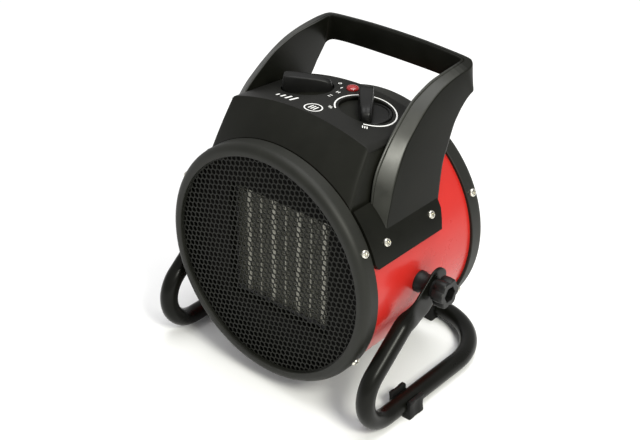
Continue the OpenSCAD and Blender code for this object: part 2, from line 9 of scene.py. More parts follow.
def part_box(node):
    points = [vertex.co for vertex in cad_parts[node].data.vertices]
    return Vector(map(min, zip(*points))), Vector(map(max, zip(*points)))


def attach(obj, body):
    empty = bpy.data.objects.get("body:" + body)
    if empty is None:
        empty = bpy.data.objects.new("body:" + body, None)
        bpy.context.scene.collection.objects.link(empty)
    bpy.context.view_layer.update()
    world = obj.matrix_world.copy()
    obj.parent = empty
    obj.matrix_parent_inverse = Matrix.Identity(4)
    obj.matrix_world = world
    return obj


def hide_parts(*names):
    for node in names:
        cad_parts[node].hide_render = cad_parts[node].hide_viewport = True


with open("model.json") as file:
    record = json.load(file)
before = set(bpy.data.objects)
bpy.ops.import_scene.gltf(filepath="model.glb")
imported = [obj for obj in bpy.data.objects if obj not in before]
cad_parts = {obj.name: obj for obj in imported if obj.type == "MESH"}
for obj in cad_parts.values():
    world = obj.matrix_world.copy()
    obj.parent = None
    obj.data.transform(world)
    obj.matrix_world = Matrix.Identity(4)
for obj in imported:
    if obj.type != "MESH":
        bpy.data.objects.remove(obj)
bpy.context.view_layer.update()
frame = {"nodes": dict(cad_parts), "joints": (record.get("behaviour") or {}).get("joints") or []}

# -------------------- anchors
# Drum millimetres: x to the right, y back from the front ring, z up from the axis.
MM = 0.001
ring_lo, ring_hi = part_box("front_ring")
rear_lo, rear_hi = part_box("rear_ring")
shell_lo, shell_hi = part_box("drum_shell")
plate_lo, plate_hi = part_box("control_panel")
AXIS_Z = (ring_lo.z + ring_hi.z) / 2
FRONT_Y = ring_lo.y
RING_R = (ring_hi.x - ring_lo.x) / 2 / MM
RING_DEPTH = (ring_hi.y - ring_lo.y) / MM
REAR_DEPTH = (rear_hi.y - rear_lo.y) / MM
DRUM_LEN = (rear_hi.y - ring_lo.y) / MM
SHELL_R = (shell_hi.x - shell_lo.x) / 2 / MM
SHELL_Y0 = (shell_lo.y - FRONT_Y) / MM
SHELL_Y1 = (shell_hi.y - FRONT_Y) / MM
PANEL_HW = (plate_hi.x - plate_lo.x) / 2 / MM
PANEL_Y0 = (plate_lo.y - FRONT_Y) / MM
PANEL_Y1 = (plate_hi.y - FRONT_Y) / MM


def drum_of(point):
    """A point in metres, in drum millimetres."""
    return (point[0] / MM, (point[1] - FRONT_Y) / MM, (point[2] - AXIS_Z) / MM)


def pt(x, y, z):
    """Drum millimetres to metres in the shared frame."""
    return Vector((x * MM, FRONT_Y + y * MM, AXIS_Z + z * MM))


def middle_of(node):
    low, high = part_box(node)
    return drum_of((low + high) / 2)


joints = {j["name"]: drum_of(j["pos_m"]) for j in frame["joints"]}
PIVOT = joints["heater_tilt"]
SELECTOR = joints["selector_turn"]
THERMO = joints["thermostat_turn"]
LAMP = middle_of("lamp_lens")
GLAND = middle_of("cable_gland")

# -------------------- camera
CAM_AZ = math.radians(39.6)
CAM_EL = math.radians(30.42)
CAM_ROLL = math.radians(1.19)
CAM_DIST = 1006.7
CAM_SIDE = 41.81
CAM_UP = 35.22
SENSOR = 36.0
LENS = 76.04


def link(name, data):
    """A new object for the data, in the scene."""
    obj = bpy.data.objects.new(name, data)
    bpy.context.scene.collection.objects.link(obj)
    return obj


def make_camera():
    right = Vector((math.cos(CAM_AZ), math.sin(CAM_AZ), 0))
    back = Vector((math.sin(CAM_AZ) * math.cos(CAM_EL),
                   -math.cos(CAM_AZ) * math.cos(CAM_EL), math.sin(CAM_EL)))
    up = back.cross(right)
    x_axis = right * math.cos(CAM_ROLL) + up * math.sin(CAM_ROLL)
    y_axis = up * math.cos(CAM_ROLL) - right * math.sin(CAM_ROLL)
    place = x_axis * CAM_SIDE + y_axis * CAM_UP + back * CAM_DIST
    data = bpy.data.cameras.new("camera")
    data.sensor_width = SENSOR
    data.lens = LENS
    data.clip_start = 0.02
    data.clip_end = 30
    cam = link("camera", data)
    turn = Matrix((x_axis, y_axis, back)).transposed()
    cam.matrix_world = Matrix.Translation(pt(*place)) @ turn.to_4x4()
    bpy.context.scene.camera = cam


# -------------------- materials
def new_material(name):
    mat = bpy.data.materials.new(name)
    mat.use_nodes = True
    tree = mat.node_tree
    return mat, tree, tree.nodes["Principled BSDF"]


def noise(tree, scale, detail=4.0, rough=0.55, stretch=None):
    """Noise in object space; stretch scales each axis for brushed or drawn grain."""
    coords = tree.nodes.new("ShaderNodeTexCoord")
    tex = tree.nodes.new("ShaderNodeTexNoise")
    tex.inputs["Scale"].default_value = scale
    tex.inputs["Detail"].default_value = detail
    tex.inputs["Roughness"].default_value = rough
    if stretch is None:
        tree.links.new(coords.outputs["Object"], tex.inputs["Vector"])
    else:
        mapping = tree.nodes.new("ShaderNodeMapping")
        mapping.inputs["Scale"].default_value = stretch
        tree.links.new(coords.outputs["Object"], mapping.inputs["Vector"])
        tree.links.new(mapping.outputs["Vector"], tex.inputs["Vector"])
    return tex


def tint(tree, shader, source, low, high):
    """Base colour drifts from low to high with the noise."""
    node = tree.nodes.new("ShaderNodeValToRGB")
    first, last = node.color_ramp.elements
    first.position = 0.35
    last.position = 0.65
    first.color = (*low, 1)
    last.color = (*high, 1)
    tree.links.new(source.outputs["Fac"], node.inputs["Fac"])
    tree.links.new(node.outputs["Color"], shader.inputs["Base Color"])


def roughen(tree, shader, source, low, high):
    """Roughness drifts from low to high with the noise."""
    node = tree.nodes.new("ShaderNodeMapRange")
    node.inputs["From Min"].default_value = 0.3
    node.inputs["From Max"].default_value = 0.7
    node.inputs["To Min"].default_value = low
    node.inputs["To Max"].default_value = high
    tree.links.new(source.outputs["Fac"], node.inputs["Value"])
    tree.links.new(node.outputs["Result"], shader.inputs["Roughness"])


def bump(tree, shader, source, strength, depth):
    node = tree.nodes.new("ShaderNodeBump")
    node.inputs["Strength"].default_value = strength
    node.inputs["Distance"].default_value = depth
    tree.links.new(source.outputs["Fac"], node.inputs["Height"])
    tree.links.new(node.outputs["Normal"], shader.inputs["Normal"])


def surface(name, low, high, rough, patch=40.0, grain=1500.0, depth=0.00003, strength=0.4,
            metal=0.0, coat=0.0, coat_rough=0.05, specular=0.5, stretch=None):
    """Colour drifts between low and high, roughness between rough[0] and rough[1]."""
    mat, tree, shader = new_material(name)
    patches = noise(tree, patch, 5.0, 0.6, stretch)
    grains = noise(tree, grain, 3.0, 0.5, stretch)
    tint(tree, shader, patches, low, high)
    roughen(tree, shader, patches, *rough)
    bump(tree, shader, grains, strength, depth)
    shader.inputs["Metallic"].default_value = metal
    shader.inputs["Coat Weight"].default_value = coat
    shader.inputs["Coat Roughness"].default_value = coat_rough
    shader.inputs["Specular IOR Level"].default_value = specular
    return mat


def lamp_material():
    mat, tree, shader = new_material("red_lens")
    cells = noise(tree, 500.0, 2.0)
    tint(tree, shader, cells, (0.20, 0.004, 0.004), (0.34, 0.010, 0.010))
    roughen(tree, shader, cells, 0.08, 0.16)
    bump(tree, shader, cells, 0.2, 0.00005)
    shader.inputs["Coat Weight"].default_value = 0.6
    shader.inputs["Transmission Weight"].default_value = 0.15
    return mat


M = {
    "ring": surface("satin_ring_plastic", (0.0076, 0.0080, 0.0058), (0.0104, 0.0108, 0.0080),
                    (0.46, 0.56), grain=1600.0, specular=0.27),
    "housing": surface("satin_housing_plastic", (0.0046, 0.0048, 0.0032), (0.0066, 0.0068, 0.0048),
                       (0.44, 0.56), depth=0.00005, specular=0.14),
    "panel": surface("satin_panel_plastic", (0.0068, 0.0068, 0.0060), (0.0092, 0.0092, 0.0080),
                     (0.40, 0.50), grain=1700.0, specular=0.14),
    "handle": surface("satin_handle_plastic", (0.0044, 0.0046, 0.0033), (0.0064, 0.0066, 0.0049),
                      (0.31, 0.39), grain=1600.0, specular=0.09),
    "knob": surface("knob_plastic", (0.0042, 0.0042, 0.0040), (0.0060, 0.0060, 0.0056),
                    (0.34, 0.46), specular=0.2),
    "clamp": surface("clamp_plastic", (0.0042, 0.0042, 0.0040), (0.0060, 0.0060, 0.0056),
                     (0.36, 0.5), grain=1300.0, depth=0.00004, specular=0.24),
    "tube": surface("black_tube_enamel", (0.0034, 0.0035, 0.0026), (0.0052, 0.0053, 0.0041),
                    (0.26, 0.34), grain=500.0, specular=0.12, coat=0.03, coat_rough=0.15),
    "rubber": surface("black_rubber", (0.0045, 0.0045, 0.0044), (0.0065, 0.0065, 0.0062),
                      (0.55, 0.7), grain=900.0, depth=0.00006, specular=0.2),
    "grille": surface("black_mesh_enamel", (0.0066, 0.0069, 0.0050), (0.0098, 0.0102, 0.0076),
                      (0.45, 0.6), grain=700.0, specular=0.18),
    "inside": surface("black_inner_enamel", (0.0026, 0.0027, 0.0022), (0.0042, 0.0043, 0.0036),
                      (0.5, 0.7), grain=600.0, depth=0.00004, specular=0.08),
    "red": surface("red_drum_paint", (0.42, 0.016, 0.012), (0.47, 0.020, 0.015), (0.26, 0.34),
                   patch=14.0, grain=160.0, depth=0.00001, strength=0.15, coat=0.12,
                   coat_rough=0.1, specular=0.25),
    "nickel": surface("nickel_screw", (0.62, 0.60, 0.52), (0.78, 0.76, 0.68), (0.16, 0.3),
                      patch=300.0, grain=2500.0, depth=0.00001, metal=1.0),
    "alu": surface("bar_aluminium", (0.36, 0.355, 0.305), (0.49, 0.48, 0.415), (0.35, 0.5),
                   patch=200.0, depth=0.00002, metal=0.3, stretch=(1, 1, 0.1)),
    "fin": surface("fin_aluminium", (0.12, 0.12, 0.10), (0.19, 0.19, 0.16), (0.4, 0.55),
                   patch=220.0, grain=1200.0, depth=0.00002, metal=0.4),
    "brass": surface("terminal_brass", (0.45, 0.40, 0.28), (0.58, 0.53, 0.38), (0.3, 0.42),
                     patch=200.0, depth=0.00002, metal=0.8),
    "steel": surface("zinc_steel", (0.36, 0.37, 0.38), (0.5, 0.51, 0.52), (0.28, 0.42),
                     patch=120.0, grain=1800.0, depth=0.00002, metal=1.0),
    "lamination": surface("stator_lamination", (0.10, 0.10, 0.11), (0.18, 0.18, 0.19),
                          (0.4, 0.55), patch=90.0, grain=2600.0, depth=0.00005, metal=0.9,
                          stretch=(0.1, 3, 0.1)),
    "copper": surface("enamelled_copper", (0.42, 0.15, 0.05), (0.58, 0.24, 0.09), (0.26, 0.38),
                      patch=400.0, depth=0.0001, metal=0.9),
    "fan": surface("fan_plastic", (0.030, 0.030, 0.032), (0.040, 0.040, 0.042), (0.42, 0.55)),
    "white_plastic": surface("cream_plastic", (0.60, 0.57, 0.50), (0.68, 0.65, 0.58),
                             (0.4, 0.55)),
    "grey_plastic": surface("grey_phenolic", (0.07, 0.07, 0.075), (0.11, 0.11, 0.115),
                            (0.45, 0.6), grain=1300.0, depth=0.00004),
    "wire": surface("wire_insulation", (0.36, 0.03, 0.02), (0.45, 0.045, 0.03), (0.4, 0.55)),
    "print": surface("white_print", (0.72, 0.72, 0.70), (0.82, 0.82, 0.80), (0.45, 0.6),
                     patch=900.0, grain=2500.0, depth=0.00001),
    "lens": lamp_material(),
}

# Painted highlight: the handle's front edge gets a lighter base colour and a stronger specular,
# standing in for the key light's sheen, that fade towards the cross bar: one material for each
# step, up to a drum y of its own.
EDGE_SHEEN = (0.34, 0.37, 0.36, 0.32, 0.24, 0.16)
EDGE_STEPS = (114.0, 121.0, 127.0, 132.0, 137.0, 142.0)


# Painted highlight materials for the handle's front edge: base colour and specular scale with each
# sheen step.
def painted_sheen_plastics():
    mats = []
    for k, sheen in enumerate(EDGE_SHEEN):
        f = sheen / EDGE_SHEEN[0]
        low = (0.0120 * f, 0.0125 * f, 0.0092 * f)
        high = (0.0180 * f, 0.0186 * f, 0.0142 * f)
        mats.append(surface("painted_highlight_handle_plastic_%d" % k, low, high, (0.30, 0.40), patch=55.0,
                            grain=1600.0, specular=sheen))
    return mats


# -------------------- points and curves
def polar(r, a, cx=0.0, cy=0.0):
    """The point at radius r and angle a, in radians, about a centre."""
    return (cx + r * math.cos(a), cy + r * math.sin(a))


def turned(s, u, a, cx=0.0, cy=0.0):
    """The point s along and u across a line at angle a, in radians, through a centre."""
    return (cx + s * math.cos(a) - u * math.sin(a), cy + s * math.sin(a) + u * math.cos(a))


def turns(n):
    """The n angles of a full turn."""
    return [2 * math.pi * i / n for i in range(n)]


def steps(low, high, n):
    """n equal steps from low to high, both ends included."""
    return [low + (high - low) * i / n for i in range(n + 1)]


def oval_arc(cx, cy, rx, ry, a0, a1, n):
    return [(cx + rx * math.cos(math.radians(a)), cy + ry * math.sin(math.radians(a)))
            for a in steps(a0, a1, n)]


def arc(cx, cy, r, a0, a1, n):
    return oval_arc(cx, cy, r, r, a0, a1, n)


def bend(a, knee, b, t):
    """The point at t on a curve from a to b that is drawn towards the knee."""
    return tuple(a * (1 - t) ** 2 + knee * 2 * t * (1 - t) + b * t * t)


def rounded(points, radii, n=4):
    """Rounds every corner of a loop of 2D or 3D points with a short curve."""
    out = []
    count = len(points)
    for i, p in enumerate(points):
        r = radii[i] if isinstance(radii, (list, tuple)) else radii
        here = Vector(p)
        before = Vector(points[i - 1]) - here
        after = Vector(points[(i + 1) % count]) - here
        a = here + before.normalized() * min(r, before.length * 0.48)
        b = here + after.normalized() * min(r, after.length * 0.48)
        out += [bend(a, here, b, k / n) for k in range(n + 1)]
    return out


def smooth_path(points, count):
    """Catmull-Rom curve through the points."""
    pts = [Vector(p) for p in points]
    pts = [pts[0] * 2 - pts[1]] + pts + [pts[-1] * 2 - pts[-2]]
    out = []
    for i in range(1, len(pts) - 2):
        p0, p1, p2, p3 = pts[i - 1:i + 3]
        for k in range(count):
            t = k / count
            out.append(0.5 * ((p1 * 2) + (p2 - p0) * t
                              + (p0 * 2 - p1 * 5 + p2 * 4 - p3) * t * t
                              + (p1 * 3 - p0 - p2 * 3 + p3) * t ** 3))
    out.append(pts[-2])
    return out


def flipped(loops):
    """The same loops on the other side of the drum."""
    return [[(-x, y, z) for x, y, z in loop] for loop in loops]


# Local frames: each takes (u, v, height) to drum millimetres.
def along_drum(x, z, h):
    return (x, h, z)


def up_at(cx, cy):
    return lambda u, v, h: (cx + u, cy + v, h)


def x_at(cy, cz, x0=0.0, side=1):
    return lambda u, v, h: (side * (x0 + h), cy + u, cz + v)


def radial_at(y, angle, base):
    """Local height points away from the drum axis; angle from the top towards +X."""
    a = math.radians(angle)

    def place(u, v, h):
        r = base + h
        return (r * math.sin(a) + u * math.cos(a), y + v, r * math.cos(a) - u * math.sin(a))

    return place


# -------------------- mesh building
AROUND = 192
SHARP = 38.0


class Build:
    """Collects closed shells in drum millimetres and makes one piece of them."""

    def __init__(self):
        self.verts = []
        self.faces = []
        self.tags = []

    def add(self, verts, faces):
        base = len(self.verts)
        self.verts += [tuple(v) for v in verts]
        self.faces += [tuple(i + base for i in f) for f in faces]
        self.tags += [0] * len(faces)

    def loft(self, loops, closed=False, slats=False):
        """Loops of equal length, joined in order; open ends get one cap, or a row of slats."""
        n, k = len(loops[0]), len(loops)
        faces = []
        for i in range(k if closed else k - 1):
            a, b = i * n, ((i + 1) % k) * n
            for j in range(n):
                m = (j + 1) % n
                faces.append((a + j, a + m, b + m, b + j))
        for base in [] if closed else [0, (k - 1) * n]:
            if slats:
                for j in range(n // 2 - 1):
                    m = n - 1 - j
                    faces.append((base + j, base + j + 1, base + m - 1, base + m))
            else:
                faces.append(tuple(range(base, base + n)))
        self.add([p for loop in loops for p in loop], faces)

    def lathe(self, profile, place, segs=AROUND):
        """A closed profile of (radius, height) turned about the local height axis."""
        self.loft([[place(*polar(r, a), h) for r, h in profile] for a in turns(segs)], closed=True)

    def piece(self, name, mats, body, nodes=(), sharp=SHARP):
        me = bpy.data.meshes.new(name)
        me.from_pydata([pt(*v) for v in self.verts], [], self.faces)
        for m in mats:
            me.materials.append(m)
        me.polygons.foreach_set("material_index", self.tags)
        bm = bmesh.new()
        bm.from_mesh(me)
        bmesh.ops.remove_doubles(bm, verts=bm.verts, dist=2e-7)
        wide = [f for f in bm.faces if len(f.verts) > 4]
        bmesh.ops.triangulate(bm, faces=wide)
        bmesh.ops.recalc_face_normals(bm, faces=bm.faces)
        bm.to_mesh(me)
        bm.free()
        obj = link(name, me)
        smooth(obj, sharp)
        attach(obj, body)
        if nodes:
            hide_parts(*nodes)
        return obj


def smooth(obj, sharp):
    obj.data.polygons.foreach_set("use_smooth", [True] * len(obj.data.polygons))
    obj.data.set_sharp_from_angle(angle=math.radians(sharp))
    obj.data.update()


def bake_modifiers(obj, sharp):
    """Applies the object's modifiers, so the piece is one plain mesh."""
    deps = bpy.context.evaluated_depsgraph_get()
    done = bpy.data.meshes.new_from_object(obj.evaluated_get(deps))
    old = obj.data
    obj.modifiers.clear()
    obj.data = done
    done.name = obj.name
    bpy.data.meshes.remove(old)
    smooth(obj, sharp)


def soften(obj, width, segments, angle, sharp):
    """Rounds the edges that turn by more than the angle."""
    mod = obj.modifiers.new("edges", "BEVEL")
    mod.width = width * MM
    mod.segments = segments
    mod.limit_method = "ANGLE"
    mod.angle_limit = math.radians(angle)
    mod.use_clamp_overlap = True
    bake_modifiers(obj, sharp)


def cut(obj, cutter, sharp):
    """Takes the cutter out of the object and deletes it."""
    mod = obj.modifiers.new("cut", "BOOLEAN")
    mod.operation = "DIFFERENCE"
    mod.solver = "EXACT"
    mod.object = cutter
    bake_modifiers(obj, sharp)
    bpy.data.objects.remove(cutter)


# -------------------- drum
RING_WALL = 2.5
OPEN_R = 87.8
LIP_R = 0.9
ROLL_R = 6.2
ROLL_DEPTH = 6.6
SKIRT_EDGE = 0.5
SKIN = 1.0


def ring_section(depth):
    """Section of an end ring: flat face, wide roll, straight skirt."""
    roll_c = RING_R - ROLL_R
    lip = arc(OPEN_R + LIP_R, LIP_R, LIP_R, 180, 270, 4)
    outer = oval_arc(roll_c, ROLL_DEPTH, ROLL_R, ROLL_DEPTH, -90, 0, 14)
    inner = oval_arc(roll_c, ROLL_DEPTH, ROLL_R - RING_WALL, ROLL_DEPTH - RING_WALL, 0, -90, 10)
    skirt = [(RING_R, depth - SKIRT_EDGE), (RING_R - SKIRT_EDGE, depth),
             (RING_R - RING_WALL, depth)]
    return [(OPEN_R, RING_WALL), (OPEN_R, LIP_R)] + lip[1:] + outer + skirt + inner


def make_rings():
    b = Build()
    b.lathe(ring_section(RING_DEPTH), along_drum)
    b.piece("front_ring_moulding", [M["ring"]], "heater", ["front_ring"])
    b = Build()
    b.lathe([(r, DRUM_LEN - h) for r, h in ring_section(REAR_DEPTH)], along_drum)
    b.piece("rear_ring_moulding", [M["ring"]], "heater", ["rear_ring"])


def make_shell():
    """Painted sheet, red outside and black inside; it casts no colour onto the floor."""
    b = Build()
    inner = SHELL_R - SKIN
    b.lathe([(SHELL_R, SHELL_Y0), (SHELL_R, SHELL_Y1), (inner, SHELL_Y1), (inner, SHELL_Y0)],
            along_drum)
    b.tags = [0, 1, 1, 1] * AROUND
    obj = b.piece("drum_skin", [M["red"], M["inside"]], "heater", ["drum_shell"])
    obj.visible_diffuse = False


MESH_R = 88.5
MESH_Y0 = RING_WALL + 0.25
MESH_Y1 = RING_WALL + 0.95
MESH_EDGE = 1.6
SEAT_R = 92.2
HEX_PITCH = 4.7
HEX_HOLE = 2.2
HEX_TURN = math.radians(17.0)


def in_mesh(cx, cz):
    return math.hypot(cx, cz) <= MESH_R - 0.2


def hex_cell(b, cx, cz):
    """One cell of the lattice, with an outer wall where it has no neighbour."""
    spokes = [math.radians(30 + 60 * k) + HEX_TURN for k in range(6)]
    rim = [polar(HEX_PITCH / math.sqrt(3), a, cx, cz) for a in spokes]
    hole = [polar(HEX_HOLE, a, cx, cz) for a in spokes]
    verts = []
    for loop, y in ((rim, MESH_Y0), (hole, MESH_Y0), (hole, MESH_Y1), (rim, MESH_Y1)):
        verts += [(x, y, z) for x, z in loop]
    faces = []
    for k in range(6):
        m = (k + 1) % 6
        faces += [(k, m, 6 + m, 6 + k), (6 + k, 6 + m, 12 + m, 12 + k),
                  (12 + k, 12 + m, 18 + m, 18 + k)]
        if not in_mesh(*polar(HEX_PITCH, spokes[k] + math.radians(30), cx, cz)):
            faces.append((18 + k, 18 + m, m, k))
    b.add(verts, faces)


def make_front_mesh():
    """Hexagonal lattice inside a flat margin."""
    step_z = HEX_PITCH * math.sqrt(3) / 2
    rows = int(MESH_R / step_z) + 1
    cols = int(MESH_R / HEX_PITCH) + 1
    b = Build()
    for j in range(-rows, rows + 1):
        for i in range(-cols, cols + 1):
            cx, cz = turned((i + (j % 2) / 2) * HEX_PITCH, j * step_z, HEX_TURN)
            if in_mesh(cx, cz):
                hex_cell(b, cx, cz)
    b.piece("front_mesh", [M["grille"]], "heater", ["front_grille"], sharp=30)
    b = Build()
    y0, y1 = MESH_Y0 - 0.2, MESH_Y1 + 0.1
    inner = MESH_R - MESH_EDGE
    b.lathe([(inner, y0), (SEAT_R, y0), (SEAT_R, y1), (inner, y1)], along_drum)
    b.piece("front_mesh_margin", [M["grille"]], "heater")


GUARD_Y = DRUM_LEN - RING_WALL - 1.0
GUARD_RINGS = range(30, 86, 8)
GUARD_SPOKES = 8


def make_rear_grille():
    """Wire rings on flat spokes, with a domed middle and a flat rim."""
    b = Build()
    y = GUARD_Y
    for r in GUARD_RINGS:
        b.lathe([(r + u, y + v) for u, v in arc(0, 0, 1.0, 0, 330, 11)], along_drum, 120)
    b.lathe([(0.01, y - 0.9), (21, y - 0.9), (22, y), (21.6, y + 0.8), (19, y + 1.0),
             (0.01, y + 1.0)], along_drum, 96)
    b.lathe([(86, y - 0.7), (SEAT_R, y - 0.7), (SEAT_R, y + 0.7), (86, y + 0.7)], along_drum, 120)
    section = rounded([(-1.6, -1.7), (1.6, -1.7), (1.6, -0.3), (-1.6, -0.3)], 0.4, 2)
    for a in turns(GUARD_SPOKES):
        loops = []
        for s in (20, 88):
            spots = [(turned(s, u, a), y + v) for u, v in section]
            loops.append([(p[0], h, p[1]) for p, h in spots])
        b.loft(loops)
    b.piece("rear_guard", [M["grille"]], "heater", ["rear_grille"])


# -------------------- screws
# Pan head with a cross recess: radius along a slot, radius between the slots, height.
SCREW_LEVELS = [(0.0, 0.0, 0.25), (0.495, 0.495, 0.3), (2.03, 0.63, 0.45), (2.15, 0.75, 2.12),
                (2.6, 2.6, 1.9), (3.1, 3.1, 1.3), (3.3, 3.3, 0.8), (3.3, 3.3, 0.0),
                (1.75, 1.75, 0.0), (1.75, 1.75, -6.0), (0.0, 0.0, -6.0)]
SLOT_SHARE = 0.42
FRONT_SCREWS = (63.5, 122, -63.5, -122)
REAR_SCREWS = (66, 122, -66, -122)
RING_SCREW_Y = 9.0
SADDLE_SCREW_YS = (32, 85)


def screw(b, place):
    loops = []
    for slot, web, h in SCREW_LEVELS:
        loops.append([place(*polar(slot if abs(math.sin(2 * a)) < SLOT_SHARE else web, a), h)
                      for a in turns(32)])
    b.loft(loops)


def make_screws():
    b = Build()
    for angles, y in ((FRONT_SCREWS, RING_SCREW_Y), (REAR_SCREWS, DRUM_LEN - RING_SCREW_Y)):
        for a in angles:
            screw(b, radial_at(y, a, RING_R))
    b.piece("ring_screw_set", [M["nickel"]], "heater", ["ring_screws"])
    b = Build()
    for a in (64, -64):
        for y in SADDLE_SCREW_YS:
            screw(b, radial_at(y, a, FLANGE_R - 0.1))
    b.piece("saddle_screw_set", [M["nickel"]], "heater", ["handle_screws"])


# -------------------- heating block
BAR_PITCH = 25.0
BAR_XS = [k * BAR_PITCH for k in (-1.5, -0.5, 0.5, 1.5)]
BAR_HALF = 2.0
PTC_Y0 = 24.5
PTC_Y1 = 39.5
PTC_HALF = 47.5
BAR_GAP = 2.1
STRIP_GAP = 0.8
FIN_END = 50.3
FIN_Y0 = PTC_Y0 + 0.7
FIN_Y1 = PTC_Y1 - 0.7
FIN_HALF = 0.24
FOLD_PITCH = 0.95
FOLD_BEND = 0.27


def make_bars():
    b = Build()
    for x in BAR_XS:
        x0, x1 = x - BAR_HALF, x + BAR_HALF
        loop = rounded([(x0, PTC_Y0), (x1, PTC_Y0), (x1, PTC_Y1), (x0, PTC_Y1)], 0.8, 3)
        b.loft([[(*p, z) for p in loop] for z in (-PTC_HALF, PTC_HALF)])
    b.piece("heater_bars", [M["alu"]], "heater", ["ptc_bars"])


def mitred(path, half):
    """Pairs of points half a thickness to either side of a flat path."""
    pairs = []
    for i, p in enumerate(path):
        here = Vector(p)
        before = (here - Vector(path[max(i - 1, 0)])).normalized()
        after = (Vector(path[min(i + 1, len(path) - 1)]) - here).normalized()
        along = (before + after).normalized()
        reach = half / along.dot(after if after.length else before)
        side = Vector((-along.y, along.x)) * reach
        pairs.append((here + side, here - side))
    return pairs


def make_fins():
    """Folded ribbon between each heating bar and the strip beside it."""
    b = Build()
    columns = []
    for bar in BAR_XS:
        columns.append((max(bar - BAR_PITCH / 2 + STRIP_GAP, -FIN_END), bar - BAR_GAP))
        columns.append((bar + BAR_GAP, min(bar + BAR_PITCH / 2 - STRIP_GAP, FIN_END)))
    folds = int(2 * PTC_HALF / FOLD_PITCH)
    for a, c in columns:
        path = []
        for k in range(folds):
            x = a + FIN_HALF if k % 2 else c - FIN_HALF
            z = (k - (folds - 1) / 2) * FOLD_PITCH
            path += [(x, z - FOLD_BEND), (x, z + FOLD_BEND)]
        b.loft([[(p.x, FIN_Y0, p.y), (p.x, FIN_Y1, p.y), (q.x, FIN_Y1, q.y), (q.x, FIN_Y0, q.y)]
                for p, q in mitred(path, FIN_HALF)])
    b.piece("folded_fins", [M["fin"]], "heater", ["ptc_fins"], sharp=20)


# -------------------- fan
FAN_Y0 = 98.0
FAN_Y1 = 114.0
HUB_R = 22.0
HUB_EDGE = 2.5
BORE_R = 2.6
TIP_R = 83.4
BLADES = 7
BLADE_TWIST = 0.22


def blade_loop(k, t, cols=10):
    """Section of blade k at the share t of its length: a thin cambered wing."""
    root = HUB_R - 1.5
    r = root + (TIP_R - HUB_R + 1.5) * t
    pitch = math.radians(44 - 20 * t)
    chord = 20 + 16 * math.sin(math.pi * (0.25 + 0.5 * t))
    top, low = [], []
    for s in steps(-0.5, 0.5, cols):
        along = s * chord
        camber = 2.2 * (0.25 - s * s) * 4
        half = 0.8 * math.sqrt(max(0.04, 1 - (2 * s) ** 2))
        swing = (along * math.cos(pitch) + camber * math.sin(pitch)) / r
        lift = -along * math.sin(pitch) * 0.62 + camber * math.cos(pitch) * 0.6
        x, z = polar(r, 2 * math.pi * k / BLADES + swing + BLADE_TWIST * t)
        y = (FAN_Y0 + FAN_Y1) / 2 + lift
        top.append((x, y + half, z))
        low.append((x, y - half, z))
    return top + low[::-1]


def make_fan():
    b = Build()
    inner, lid = HUB_R - HUB_EDGE, FAN_Y1 - 3
    b.lathe([(BORE_R, FAN_Y0), (6, FAN_Y0), (6, lid), (inner, lid), (inner, FAN_Y0),
             (HUB_R, FAN_Y0)] + arc(inner, FAN_Y1 - HUB_EDGE, HUB_EDGE, 0, 90, 6)
            + [(BORE_R, FAN_Y1)], along_drum, 96)
    for k in range(BLADES):
        b.loft([blade_loop(k, t) for t in steps(0, 1, 12)])
    b.piece("fan_wheel", [M["fan"]], "fan", ["fan_impeller"])


# -------------------- control housing
CROWN_R = 201.0
CROWN_Z = 117.8
FALL = math.tan(math.radians(4.5))
HOUSE_Y0 = 15.4
HOUSE_WALL = 2.5
HOUSE_EDGE = 4.0
SLOPE_R = 97.2
SLOPE_BULGE = 1.2
SIDE_LOW = 69.0
SIDE_Z0 = 62.0
SIDE_RISE = 46.0
SEAT_LOW = 94.9
PANEL_T = 3.0


def share(low, high, value):
    """How far a value is from low to high, kept from 0 to 1."""
    return min(1.0, max(0.0, (value - low) / (high - low)))


def crown(x, y):
    """Height of the panel surface."""
    z = CROWN_Z - (CROWN_R - math.sqrt(CROWN_R ** 2 - x * x))
    return z - max(0.0, y - PANEL_Y0) * FALL


def house_top(x, y):
    """Outer surface of the housing: slope from the ring to the panel, then the crown."""
    if y >= PANEL_Y0:
        return crown(x, y)
    low = drum_z(x, SLOPE_R)
    t = (y - HOUSE_Y0) / (PANEL_Y0 - HOUSE_Y0)
    return low + (crown(x, PANEL_Y0) - low) * t + SLOPE_BULGE * math.sin(math.pi * t)


def house_half(y, z):
    """Half width of the housing at a height."""
    rise = share(SIDE_Z0, SIDE_Z0 + SIDE_RISE, z)
    front = share(PANEL_Y0, HOUSE_Y0, y)
    return SIDE_LOW - (SIDE_LOW - PANEL_HW) * rise - 0.4 * front


def drum_z(x, r):
    return math.sqrt(max(0.0, r * r - x * x))


def house_loop(y, inset=0.0, drop=0.0):
    """Section of the housing skin across the drum: up one side, over, and down."""
    r = HOUSE_EDGE
    corner_z = house_top(house_half(y, 100.0), y) - drop
    half = house_half(y, corner_z) - inset
    base_z = drum_z(house_half(y, SIDE_Z0) - inset, 95.0)
    side = []
    for z in steps(base_z, corner_z - r, 8)[:-1]:
        side.append((house_half(y, z) - inset, z))
    top = [(x, house_top(x, y) - drop) for x in steps(half - r, r - half, 40)]
    start = Vector((half, corner_z - r))
    knee = Vector((half - 0.2, house_top(half, y) - drop))
    end = Vector(top[0])
    right = side + [bend(start, knee, end, k / 6) for k in range(6)]
    left = [(-x, z) for x, z in reversed(right)]
    return [(x, y, z) for x, z in right + top + left]


def seated(loop, y):
    """The loop at drum y, resting on the drum instead of passing into it."""
    return [(x, y, max(z, drum_z(x, SEAT_LOW))) for x, _, z in loop]


